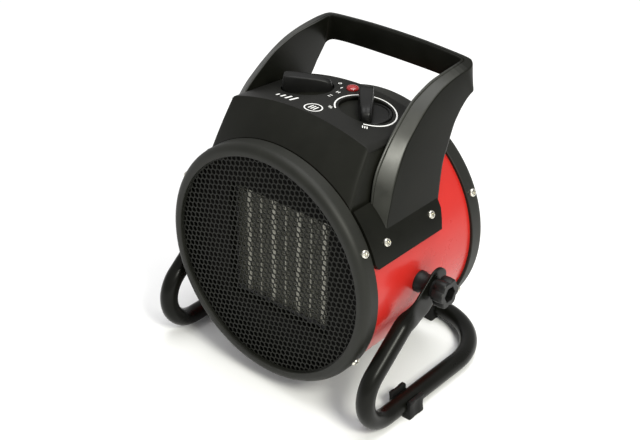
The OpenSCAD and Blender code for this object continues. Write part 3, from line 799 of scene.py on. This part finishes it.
def make_control_housing():
    """Open skin with a rear wall; it steps down under the panel."""
    b = Build()
    loops = []
    for y in steps(HOUSE_Y0, PANEL_Y0, 14):
        low = house_loop(max(y - 0.1, HOUSE_Y0), inset=HOUSE_WALL, drop=3.4)
        loops.append(house_loop(y) + seated(low, y)[::-1])
    for y in steps(PANEL_Y0, PANEL_Y1, 10)[1:]:
        low = house_loop(y, inset=HOUSE_WALL, drop=PANEL_T + 1.6)
        loops.append(house_loop(y, drop=PANEL_T + 0.05) + seated(low, y)[::-1])
    b.loft(loops)
    rear = house_loop(PANEL_Y1, inset=0.4, drop=PANEL_T + 0.5)
    b.loft([seated(rear, y) for y in (PANEL_Y1 - HOUSE_WALL, PANEL_Y1 - 0.1)])
    b.piece("control_cover", [M["housing"]], "heater", ["control_housing"],
            sharp=32)


WELL_R = 20.2
WELL_OUT = 21.7
WELL_BORE = 3.6
WELL_FLOOR = 106.2
LAMP_HOLE = 4.1
PANEL_EDGE = 3.0


def panel_loop(y):
    """Crowned plate section with slightly rounded side edges."""
    top, low = [], []
    for u in steps(-1, 1, 56):
        x = PANEL_HW * u
        edge = max(0.0, (abs(x) - PANEL_HW + PANEL_EDGE) / PANEL_EDGE)
        top.append((x, y, crown(x, y) - 1.6 * edge * edge))
        low.append((x, y, crown(x, y) - PANEL_T))
    return top + low[::-1]


def well_loop(c, a):
    """Section of a knob well at angle a round its centre; its rim follows the crown."""
    rim = min(crown(*polar(r, a, c[0], c[1])) for r in (21, WELL_R)) - 1.2
    section = [(WELL_BORE, WELL_FLOOR - 1.5), (WELL_OUT, WELL_FLOOR - 1.5), (WELL_OUT, rim),
               (WELL_R, rim), (WELL_R, WELL_FLOOR), (WELL_BORE, WELL_FLOOR)]
    return [(*polar(r, a, c[0], c[1]), z) for r, z in section]


def make_panel():
    b = Build()
    b.loft([panel_loop(y) for y in steps(PANEL_Y0 + 0.05, PANEL_Y1, 36)], slats=True)
    obj = b.piece("control_panel_top", [M["panel"]], "heater",
                  ["control_panel"], sharp=32)
    tool = Build()
    for c, r, segs in ((SELECTOR, WELL_R, 96), (THERMO, WELL_R, 96), (LAMP, LAMP_HOLE, 48)):
        tool.lathe([(0.0, 100), (r, 100), (r, 130), (0.0, 130)], up_at(c[0], c[1]), segs)
    cut(obj, tool.piece("cutter", [M["panel"]], "heater"), 32)
    soften(obj, 0.5, 2, 50.0, 32)
    b = Build()
    for c in (SELECTOR, THERMO):
        b.loft([well_loop(c, a) for a in turns(96)], closed=True)
    b.piece("knob_wells", [M["panel"]], "heater")


# -------------------- knobs
KNOB_R = 19.3
KNOB_Z0 = 106.6
KNOB_Z1 = 109.5
# The grip, from its wide end to its narrow end: distance along, half width on top, half width
# below, height.
GRIP = [(-18.6, 4.2, 5.0, 120.6), (-18.0, 4.9, 5.6, 122.3), (-16.4, 5.3, 6.0, 123.0),
        (-10.0, 5.1, 5.9, 122.8), (0.0, 4.6, 5.5, 121.9), (8.0, 4.1, 5.1, 120.9),
        (13.0, 3.7, 4.8, 119.9), (16.2, 3.4, 4.4, 118.6), (17.8, 3.0, 3.9, 117.0),
        (18.6, 2.4, 3.2, 115.2)]
POINTER = ((12.2, 120.16), (15.4, 119.1), (17.2, 117.85))
POINTER_HALF = 0.45


def make_knob(name, centre, direction, body, node):
    """Dished disc with a tapered bar grip; the narrow end is the pointer."""
    cx, cy = centre[0], centre[1]
    a = math.radians(direction)
    b = Build()
    b.lathe([(0.0, KNOB_Z0), (KNOB_R, KNOB_Z0)] + arc(KNOB_R - 0.8, KNOB_Z1 - 0.8, 0.8, 0, 90, 4)
            + [(KNOB_R - 2.0, KNOB_Z1), (KNOB_R - 2.6, KNOB_Z1 - 0.7), (0.0, KNOB_Z1 - 0.9)],
            up_at(cx, cy), 128)
    base = KNOB_Z1 - 1.6
    loops = []
    for s, top, low, z in GRIP:
        loop = rounded([(-low, base), (low, base), (top, z), (-top, z)], [0.2, 0.2, 1.3, 1.3], 3)
        loops.append([(*turned(s, u, a, cx, cy), v) for u, v in loop])
    b.loft(loops)
    b.piece(name, [M["knob"]], body, [node])
    marks = Build()
    h = POINTER_HALF
    marks.loft([[(*turned(s, u, a, cx, cy), z + v)
                 for u, v in ((-h, -0.5), (h, -0.5), (h, 0.06), (-h, 0.06))] for s, z in POINTER])
    marks.piece(name + "_pointer", [M["rubber"]], body)


# -------------------- print
PRINT_UP = 0.07
PRINT_DOWN = 0.25
HEAT_MARK = (6.0, 47.0)
POWER_MARK = (-31.5, 50.6)


def decal_band(b, centre, r, a0, a1, width, count=64):
    """Ring or part ring of print, laid over the crown."""
    full = a1 - a0 >= 360
    loops = []
    for a in steps(a0, a1, count):
        loop = []
        for side, h in ((-1, -PRINT_DOWN), (1, -PRINT_DOWN), (1, PRINT_UP), (-1, PRINT_UP)):
            x, y = polar(r + side * width / 2, math.radians(a), *centre)
            loop.append((x, y, crown(x, y) + h))
        loops.append(loop)
    b.loft(loops[:-1] if full else loops, closed=full)


def decal_bar(b, x, y, angle, length, width):
    """Straight stroke of print, laid over the crown."""
    u, v = length / 2, width / 2
    pts = [turned(*p, math.radians(angle), x, y)
           for p in rounded([(-u, -v), (u, -v), (u, v), (-u, v)], width * 0.3, 2)]
    b.loft([[(*p, crown(*p) + h) for p in pts] for h in (-PRINT_DOWN, PRINT_UP)])


def make_print():
    b = Build()
    decal_band(b, THERMO[:2], 22.9, -56, 233, 1.0, 96)
    # blocks of three strokes at the two ends of the thermostat's scale
    for angle, d, outer in ((-130, 26.4, 1.6), (-53, 26.8, 3.0)):
        for off, length in ((-1.6, outer), (0.0, 3.0), (1.6, outer)):
            x, y = turned(d, off, math.radians(angle), *THERMO[:2])
            decal_bar(b, x, y, angle, length, 0.7)
    # settings of the selector: a ring, one bar, two bars, two short strokes
    spots = [polar(25.6, math.radians(a), *SELECTOR[:2]) for a in (57, 35, 13, -9)]
    decal_band(b, spots[0], 1.2, 0, 360, 0.6, 20)
    decal_bar(b, *spots[1], 90, 2.8, 0.8)
    for off in (-1.0, 1.0):
        decal_bar(b, spots[2][0] + off, spots[2][1], 90, 2.8, 0.8)
    for off in (-1.3, 1.3):
        decal_bar(b, spots[3][0], spots[3][1] + off, 0, 2.6, 0.7)
    # heat mark: ring with three bars
    decal_band(b, HEAT_MARK, 6.6, 0, 360, 0.9, 48)
    for off in (-2.4, 0.0, 2.4):
        decal_bar(b, HEAT_MARK[0] + off, HEAT_MARK[1], 90, 6.4, 0.9)
    # power mark: four slanted bars of rising length
    for k in range(4):
        decal_bar(b, POWER_MARK[0] + 5.6 * k, POWER_MARK[1] - 0.4 * k, 78, 3.4 + 1.6 * k, 2.0)
    b.piece("panel_print", [M["print"]], "heater", sharp=30)


# -------------------- lamp and gland
LENS_STEM = 3.9
LENS_R = 4.8
LENS_RISE = 1.9
NUT_R = 8.6
CAP_R = 7.2
KNURL = 0.25


def make_lamp():
    b = Build()
    top = crown(LAMP[0], LAMP[1])
    dome = oval_arc(0.0, top + 0.9, LENS_R, LENS_RISE, 0, 90, 10)
    b.lathe([(0.0, 108.0), (LENS_STEM, 108.0), (LENS_STEM, top + 0.1), (LENS_R, top + 0.1)]
            + dome + [(0.0, top + 2.8)], up_at(LAMP[0], LAMP[1]), 48)
    b.piece("lamp_dome", [M["lens"]], "heater", ["lamp_lens"])


def make_gland():
    """Hexagon flange and knurled cap behind the wall, stem and lock nut inside it."""
    b = Build()
    back = PANEL_Y1
    bore = 3.6

    def place(u, v, h):
        return (GLAND[0] + u, h, GLAND[2] + v)

    flange = rounded([polar(NUT_R, a) for a in turns(6)], 0.8, 2)
    n = len(flange)
    hole = [polar(bore, a + math.pi / n + math.radians(-4)) for a in turns(n)]
    loops = [[place(u * s, v * s, h) for u, v in flange]
             for s, h in ((1.0, back), (1.0, back + 3.6), (0.95, back + 4.0))]
    loops += [[place(u, v, h) for u, v in hole] for h in (back + 4.0, back)]
    b.loft(loops, closed=True)
    loops = []
    for i, a in enumerate(turns(96)):
        cap = CAP_R + (-KNURL if (i // 3) % 2 == 0 else KNURL)
        section = [(bore, 3.8), (cap, 3.8), (cap, 8.5), (6.4, 11.2), (5.2, 12.0), (3.9, 12.0),
                   (bore, 11.6)]
        loops.append([place(*polar(r, a), back + h) for r, h in section])
    b.loft(loops, closed=True)
    b.lathe([(bore, back - 7), (5, back - 7), (5, back), (bore, back)], place, 48)
    b.lathe([(5, back - 6.5), (8, back - 6.5), (8, back - 2.6), (5, back - 2.6)], place, 24)
    b.piece("cable_inlet_gland", [M["clamp"]], "heater", ["cable_gland"])


# -------------------- handle
FLANGE_R = 98.5
FLANGE_RI = 94.7
FLANGE_TOP = 46.0
FLANGE_LOW = 72.6
FLANGE_Y0 = HOUSE_Y0 - 0.2
FLANGE_Y1 = 97.8

ARM = [
    # outer front, inner front, inner rear, outer rear, each (drum y, drum z)
    ((36, 42.5), (33.5, 63.6), (112, 63.6), (97, 42.5)),
    ((37, 54), (34, 69), (118, 70), (99.5, 52)),
    ((42, 66.5), (36, 80), (123, 79), (103, 66)),
    ((46, 77), (40, 89.5), (128, 86), (106, 76)),
    ((53, 90), (48, 100), (131, 91), (111, 84.5)),
    ((62, 103), (58, 110.5), (133.5, 95), (116, 93)),
    ((71.5, 111.6), (70, 120), (135.5, 99), (121, 100.6)),
    ((81, 118.8), (82, 128), (137, 102), (125.5, 105)),
    ((92.5, 125.8), (94, 132.5), (138.7, 104.8), (130, 109)),
    ((104, 130.8), (105, 135.5), (140, 107), (134, 111.7)),
    ((116, 133.9), (118, 137), (141.5, 109.5), (138, 114)),
    ((128, 135.7), (131, 138), (143, 112), (142, 115.6)),
    ((138, 136.5), (140.5, 138.8), (144.2, 114.3), (145.5, 116.8)),
]
CORNER = [
    # the same four corners from the arm's end to the middle of the cross bar, in (x, y, z)
    ((73.3, 144.5, 137.2), (63.2, 143.6, 139.2), (64.5, 144.9, 116.5), (74.0, 148.2, 117.7)),
    ((70.6, 148.8, 138.4), (61.8, 144.8, 139.5), (61.5, 145, 118.6), (70.6, 150.5, 118.7)),
    ((66, 150.9, 139.3), (58.5, 145, 139.9), (57, 145, 120), (65, 151, 119.7)),
    ((50, 151, 140.7), (48, 145, 141.0), (46, 145, 120.9), (50, 151, 120.7)),
    ((25, 151, 142.0), (25, 145, 142.1), (25, 145, 121.4), (25, 151, 121.3)),
    ((0, 151, 142.4), (0, 145, 142.4), (0, 145, 121.6), (0, 151, 121.6)),
]
# points of a section: four or so to each rounded corner, then the groove
SECTION_ROUND = 4
EDGE_FACES = range(2, 10)
GROOVE_AT = 2.6
GROOVE_HALF = 0.55
GROOVE_DEEP = 0.7


def outer_x(z):
    return 90.67 - 0.1207 * z


def inner_x(z):
    return 77.75 - 0.1023 * z


def edge_step(y):
    """Painted highlight step of the front edge at drum y; 0 is the plain handle plastic."""
    for k, limit in enumerate(EDGE_STEPS):
        if y < limit:
            return k + 1
    return 0


def lean(z):
    """The arms lean back a little above the drum."""
    return min(3.5, 0.047 * max(0.0, z - 62.0))


def handle_section(corners):
    """Rounded four-cornered section with a fine groove beside the inner edge."""
    of, inf, ir, orr = (Vector(p) for p in corners)
    across = inf - of
    along = across.normalized()
    deep = (ir - inf).normalized() * GROOVE_DEEP
    at = min(GROOVE_AT, across.length * 0.3)
    groove = [tuple(inf - along * (at + GROOVE_HALF)), tuple(inf - along * at + deep),
              tuple(inf - along * (at - GROOVE_HALF))]
    loop = rounded([of, inf, ir, orr], [1.5, 1.3, 1.5, 1.8], SECTION_ROUND)
    return loop[:SECTION_ROUND + 1] + groove + loop[SECTION_ROUND + 1:]


def flange_loop(y):
    """Section of the saddle flange at drum y; its lower corners are cut off."""
    low = FLANGE_LOW
    if y > 93.0:
        low -= 9.0 * (y - 93.0) / 5.0
    if y < 17.5:
        low -= 1.0 * (17.5 - y)
    angles = [math.radians(t) for t in steps(FLANGE_TOP, low, 14)]
    outer = [(FLANGE_R * math.sin(t), y, FLANGE_R * math.cos(t)) for t in angles]
    inner = [(FLANGE_RI * math.sin(t), y, FLANGE_RI * math.cos(t)) for t in angles]
    return outer + inner[::-1]


def make_handle():
    keys = []
    for station in ARM:
        xs = (outer_x, inner_x, inner_x, outer_x)
        keys.append([(x(z), y, z) for x, (y, z) in zip(xs, station)])
    keys = [[(x, y + lean(z), z) for x, y, z in key] for key in keys + CORNER]
    tracks = [smooth_path([key[i] for key in keys], 4) for i in range(4)]
    half = [handle_section(corners) for corners in zip(*tracks)]
    loops = half + flipped(reversed(half[:-1]))
    b = Build()
    b.loft(loops)
    # The front-edge faces take the painted highlight materials, stepped by drum y.
    for i, loop in enumerate(loops[:-1]):
        for j in EDGE_FACES:
            b.tags[i * len(loop) + j] = edge_step(loop[SECTION_ROUND + 1][1])
    flange = [flange_loop(y) for y in steps(FLANGE_Y0, FLANGE_Y1, 34)]
    b.loft(flange)
    b.loft(flipped(flange))
    b.piece("carry_handle", [M["handle"]] + painted_sheen_plastics(), "heater",
            ["handle"], sharp=32)


# -------------------- stand
TUBE_R = 7.27
RUNNER_X = 102.0
BEND_R = 27.0
BEND_Y = 24.5
REAR_R = 54.0
CROSS_Y = 169.0
PLATE_X = 107.2
PLATE_T = 3.0
PLATE_R = 11.5
PLATE_TIP = 4.5
FLAT_START = 38.0
FLAT_END = 15.0
stand_lo, stand_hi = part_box("stand_tube")
TUBE_Z = (stand_lo.z - AXIS_Z) / MM + TUBE_R
BEND_Z = TUBE_Z + BEND_R
LEG_DY = PIVOT[1] - BEND_Y
LEG_DZ = PIVOT[2] - BEND_Z
LEG_SPAN = math.hypot(LEG_DY, LEG_DZ)
LEG_A = math.atan2(LEG_DZ, LEG_DY) - math.asin(BEND_R / LEG_SPAN)
LEG_LEN = math.sqrt(LEG_SPAN ** 2 - BEND_R ** 2)
SIDE = (1.0, 0.0, 0.0)
DOWN = (0.0, 0.0, -1.0)


def section_at(centre, u, v, half_u=TUBE_R, half_v=TUBE_R, power=2.0):
    """Superellipse section in the plane of unit vectors u and v."""
    loop = []
    for a in turns(40):
        cu = math.copysign(abs(math.cos(a)) ** (2 / power), math.cos(a)) * half_u
        cv = math.copysign(abs(math.sin(a)) ** (2 / power), math.sin(a)) * half_v
        loop.append(tuple(centre[i] + u[i] * cu + v[i] * cv for i in range(3)))
    return loop


def ease(t):
    """Smooth rise from 0 to 1."""
    t = min(1.0, max(0.0, t))
    return t * t * (3 - 2 * t)


def leg_sections():
    """From the round tip of the flat pivot plate down the leg, as the plate turns to tube."""
    ca, sa = math.cos(LEG_A), math.sin(LEG_A)
    start = (BEND_Y - BEND_R * sa, BEND_Z + BEND_R * ca)
    flat0, flat1 = LEG_LEN - FLAT_START, LEG_LEN - FLAT_END
    centre = LEG_LEN + PLATE_TIP
    spots = [centre + PLATE_R * math.sin(a) * 0.9995 for a in steps(math.pi / 2, 0, 24)]
    spots += steps(LEG_LEN, LEG_LEN - 12.0, 4) + steps(flat1, flat0, 16)
    spots += steps(flat0, 0, 8)[1:-1]
    loops = []
    for s in spots:
        f = ease((s - flat0) / (flat1 - flat0))
        wide = TUBE_R + (PLATE_R - TUBE_R) * f
        if s > centre:
            wide = math.sqrt(max(0.0, PLATE_R ** 2 - (s - centre) ** 2)) + 0.02
        thick = min(TUBE_R + (PLATE_T / 2 - TUBE_R) * ease(f * 1.02), wide)
        x = RUNNER_X + (PLATE_X - RUNNER_X) * f
        loops.append(section_at((x, start[0] + s * ca, start[1] + s * sa), SIDE, (0.0, -sa, ca),
                                thick, wide, 2.0 + 2.2 * f))
    return loops


def make_stand():
    """Leg, front bend, runner, rear corner and half the cross tube, then the other side."""
    loops = leg_sections()
    for a in steps(math.pi / 2 + LEG_A, 1.5 * math.pi, 30):
        out = (0.0, math.cos(a), math.sin(a))
        loops.append(section_at((RUNNER_X, *polar(BEND_R, a, BEND_Y, BEND_Z)), SIDE, out))
    y_end = CROSS_Y - REAR_R
    for y in steps(BEND_Y, y_end, 10)[1:-1]:
        loops.append(section_at((RUNNER_X, y, TUBE_Z), SIDE, DOWN))
    for a in steps(0, math.pi / 2, 24):
        spot = polar(REAR_R, a, RUNNER_X - REAR_R, y_end)
        loops.append(section_at((*spot, TUBE_Z), (math.cos(a), math.sin(a), 0.0), DOWN))
    for x in steps(RUNNER_X - REAR_R, 0, 5)[1:]:
        loops.append(section_at((x, CROSS_Y, TUBE_Z), (0.0, 1.0, 0.0), DOWN))
    b = Build()
    b.loft(loops + flipped(reversed(loops[:-1])))
    b.piece("stand_frame", [M["tube"]], "stand", ["stand_tube"], sharp=50)


clip_lo, clip_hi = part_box("foot_clips")
CLIP_HALF = (clip_hi.x - clip_lo.x) / 2 / MM - RUNNER_X
CLIP_H = (clip_hi.z - clip_lo.z) / MM
CLIP_LEN = 17.0
CLIP_Y = drum_of(clip_lo)[1] + CLIP_LEN / 2
CLIP_X = 38.0
SEAT_Z = 9.1
WAIST_Z = 8.0
# share of the length and growth of the section, for soft ends and a raised rib at each end
CLIP_SLICES = [(-0.5, 0.95), (-0.46, 1.0), (-0.2, 1.0), (-0.16, 0.97), (0.16, 0.97),
               (0.2, 1.0), (0.46, 1.0), (0.5, 0.95)]


def clip_outline():
    """A base under the tube and two raised jaws beside it."""
    w, h = CLIP_HALF, CLIP_H
    jaw = [(7.4, h - 0.9), (8.2, h), (w - 0.6, h - 0.1), (w, h - 1.0), (w - 0.7, h - 4.0),
           (w - 0.8, 6.0), (w, 1.6), (w - 0.6, 0.1), (w - 2.0, 0.0)]
    seat = arc(0, SEAT_Z, TUBE_R + 0.04, 158, 382, 26)
    return seat + jaw + [(-u, v) for u, v in reversed(jaw)]


def grown(u, v, grow):
    """A point of the outline, grown about the tube; the seat and the base stay."""
    if math.hypot(u, v - SEAT_Z) < TUBE_R + 0.3:
        grow = 1.0
    return u * grow, WAIST_Z + (v - WAIST_Z) * grow if v > WAIST_Z else v


def make_clips():
    """Two rubber feet on the runners and two on the cross tube."""
    b = Build()
    floor_z = -AXIS_Z / MM
    outline = clip_outline()
    for cx, cy, across in ((RUNNER_X, CLIP_Y, False), (-RUNNER_X, CLIP_Y, False),
                           (CLIP_X, CROSS_Y, True), (-CLIP_X, CROSS_Y, True)):
        loops = []
        for t, grow in CLIP_SLICES:
            loop = []
            for u, v in (grown(*p, grow) for p in outline):
                dx, dy = (t * CLIP_LEN, u) if across else (u, t * CLIP_LEN)
                loop.append((cx + dx, cy + dy, floor_z + v))
            loops.append(loop)
        b.loft(loops)
    b.piece("rubber_feet", [M["rubber"]], "stand", ["foot_clips"], sharp=40)


# -------------------- pivots and clamp knobs
bush_lo, bush_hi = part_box("pivot_spacers")
BUSH_R = (bush_hi.y - bush_lo.y) / 2 / MM
BUSH_X0 = 93.0
BUSH_BORE = 3.1
PLATE_PLAY = 0.2
LOBES = 6
# clamp knob: height, radius of the lobes, radius between them
CLAMP_LEVELS = [(0.0, 7.6, 7.6), (3.2, 7.6, 7.6), (3.5, 10.9, 9.2), (4.2, 11.7, 9.6),
                (8.0, 12.0, 9.8), (12.0, 11.7, 9.5), (13.0, 11.3, 9.2), (13.5, 10.7, 8.8)]
# its face: height and radius; the wide ones follow the hexagon socket
CLAMP_FACE = [(13.5, 6.9), (13.2, 6.4), (8.4, 6.1), (8.4, 3.2), (9.4, 2.9), (9.4, 0.001)]
SOCKET_R = 6.0


def make_pivots():
    x1 = PLATE_X - PLATE_T / 2 - PLATE_PLAY
    r = BUSH_R
    profile = [(BUSH_BORE, BUSH_X0), (r, BUSH_X0), (r, 97.0), (r - 0.7, 98.0), (r - 0.7, x1 - 1.4),
               (r - 0.2, x1 - 1.0), (r - 0.2, x1 - 0.3), (r - 0.6, x1), (BUSH_BORE, x1)]
    b = Build()
    for side in (1, -1):
        b.lathe(profile, x_at(PIVOT[1], PIVOT[2], 0.0, side), 72)
    b.piece("pivot_bushes", [M["clamp"]], "heater", ["pivot_spacers"])


def lobe(a, r_out, r_in):
    """Radius of a soft lobed outline."""
    return r_in + (r_out - r_in) * (0.5 + 0.5 * math.cos(LOBES * a)) ** 0.55


def hexagon(a, r):
    """Radius of a hexagon with corners at radius r."""
    return r * math.cos(math.pi / 6) / math.cos((a % (math.pi / 3)) - math.pi / 6)


def make_clamp(name, side, body, node):
    """Lobed knob with a hexagon socket round the end of its stud."""
    place = x_at(PIVOT[1], PIVOT[2], PLATE_X + PLATE_T / 2 + PLATE_PLAY, side)
    loops = []
    for h, r_out, r_in in CLAMP_LEVELS:
        loops.append([place(*polar(lobe(a, r_out, r_in), a), h) for a in turns(96)])
    for h, r in CLAMP_FACE:
        loops.append([place(*polar(hexagon(a, r) if r > SOCKET_R else r, a), h)
                      for a in turns(96)])
    b = Build()
    b.loft(loops)
    b.piece(name, [M["clamp"]], body, [node], sharp=34)


# -------------------- CAD nodes that stay
KEPT = {
    "baffle_plate": "inside", "ptc_frame": "grey_plastic", "ptc_electrodes": "alu",
    "thermal_cutout": "steel", "motor_bracket": "steel", "motor_body": "steel",
    "motor_stator": "lamination", "motor_windings": "copper", "motor_screws": "nickel",
    "motor_rotor": "lamination", "motor_shaft": "steel", "fan_nut": "nickel",
    "fan_shroud": "inside", "selector_body": "white_plastic", "selector_shaft": "steel",
    "thermostat_body": "grey_plastic", "thermostat_shaft": "steel",
    "lamp_body": "white_plastic", "terminal_block": "white_plastic",
    "wire_grommet": "rubber", "wire_loom": "wire", "pivot_inserts": "brass",
    "clamp_stud_right": "nickel", "clamp_stud_left": "nickel",
}


def dress_nodes():
    for node, key in KEPT.items():
        obj = frame["nodes"][node]
        if not obj.material_slots:
            obj.data.materials.append(M[key])
        for s in obj.material_slots:
            s.material = M[key]


# -------------------- stage and light
FLOOR_HALF = 6.0


def make_stage():
    """Flat pale floor."""
    mat, tree, shader = new_material("pale_floor")
    tint(tree, shader, noise(tree, 3.0, 3.0), (0.90, 0.90, 0.90), (0.93, 0.93, 0.93))
    shader.inputs["Roughness"].default_value = 0.55
    shader.inputs["Specular IOR Level"].default_value = 0.2
    me = bpy.data.meshes.new("floor")
    s = FLOOR_HALF
    me.from_pydata([(-s, -s, 0), (s, -s, 0), (s, s, 0), (-s, s, 0)], [], [(0, 1, 2, 3)])
    me.materials.append(mat)
    link("floor", me)


def softbox(name, place, size, power, color=(1, 1, 1)):
    """Square area light that faces the middle of the object."""
    data = bpy.data.lights.new(name, "AREA")
    data.energy = power
    data.size = size
    data.color = color
    light = link(name, data)
    light.location = place
    aim = Vector((0.0, 0.0, 0.12)) - Vector(place)
    light.rotation_euler = aim.to_track_quat("-Z", "Y").to_euler()


def make_light():
    world = bpy.data.worlds.new("studio")
    world.use_nodes = True
    bpy.context.scene.world = world
    sky = world.node_tree.nodes["Background"]
    sky.inputs["Color"].default_value = (1, 1, 1, 1)
    sky.inputs["Strength"].default_value = 0.6
    softbox("top_softbox", (0.10, 0.10, 1.6), 1.3, 20.0)
    softbox("key_softbox", (0.98, -0.46, 0.98), 0.36, 15.0, (1.0, 1.0, 0.9))


bpy.context.scene.view_settings.view_transform = "Standard"
make_camera()
make_rings()
make_shell()
make_front_mesh()
make_rear_grille()
make_screws()
make_bars()
make_fins()
make_fan()
make_control_housing()
make_panel()
make_knob("selector_grip", SELECTOR, 37, "selector", "selector_knob")
make_knob("thermostat_grip", THERMO, -52, "thermostat", "thermostat_knob")
make_print()
make_lamp()
make_gland()
make_handle()
make_stand()
make_clips()
make_pivots()
make_clamp("clamp_grip_right", 1, "clamp_right", "clamp_knob_right")
make_clamp("clamp_grip_left", -1, "clamp_left", "clamp_knob_left")
dress_nodes()
make_stage()
make_light()
